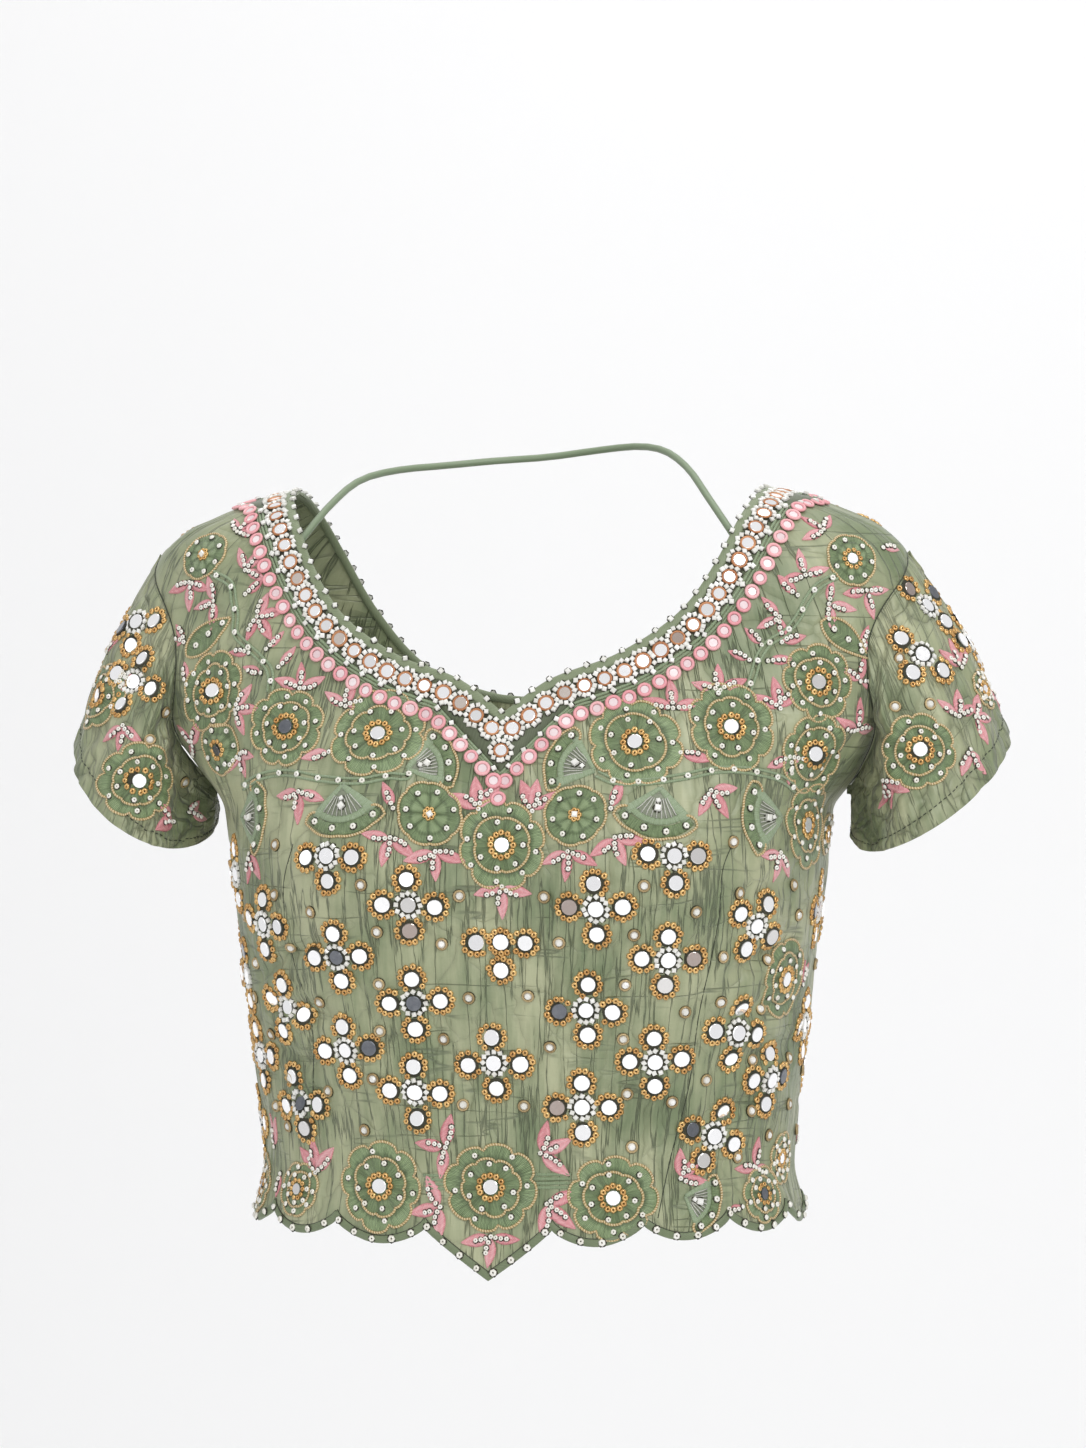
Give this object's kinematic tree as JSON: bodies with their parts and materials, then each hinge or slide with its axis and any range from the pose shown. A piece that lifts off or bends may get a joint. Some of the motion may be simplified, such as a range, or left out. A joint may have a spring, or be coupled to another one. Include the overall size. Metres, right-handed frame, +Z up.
{
  "type": "choli blouse",
  "caption": "Short fitted choli blouse with a sweetheart neck, short flared sleeves, stone-set neck trim, scalloped hem with a centre point, centre-back opening and a neck tie.",
  "frame": {"origin": "midway between the two shoulder seams, at the height of their neck ends, where the wearer's shoulders carry the blouse", "axes": "the wearer faces -Y, the wearer's left is +X, +Z is up"},
  "size_m": [0.4715, 0.2144, 0.41],
  "materials": {
    "sage_silk": "crinkled sage silk, softly lustrous",
    "binding_silk": "darker sage silk bias strip and fabric cord",
    "stone_trim": "strip set closely with small round mirrors and white stones"
  },
  "bodies": {
    "root": {"front_panel": "sage_silk", "back_panel_left": "sage_silk", "back_panel_right": "sage_silk", "back_placket": "sage_silk", "sleeve_left": "sage_silk", "sleeve_right": "sage_silk", "hem_binding_front": "binding_silk", "hem_binding_back_left": "binding_silk", "hem_binding_back_right": "binding_silk", "neck_tie": "binding_silk", "neck_trim_front": "stone_trim", "neck_trim_back_left": "stone_trim", "neck_trim_back_right": "stone_trim"}
  },
  "joints": []
}
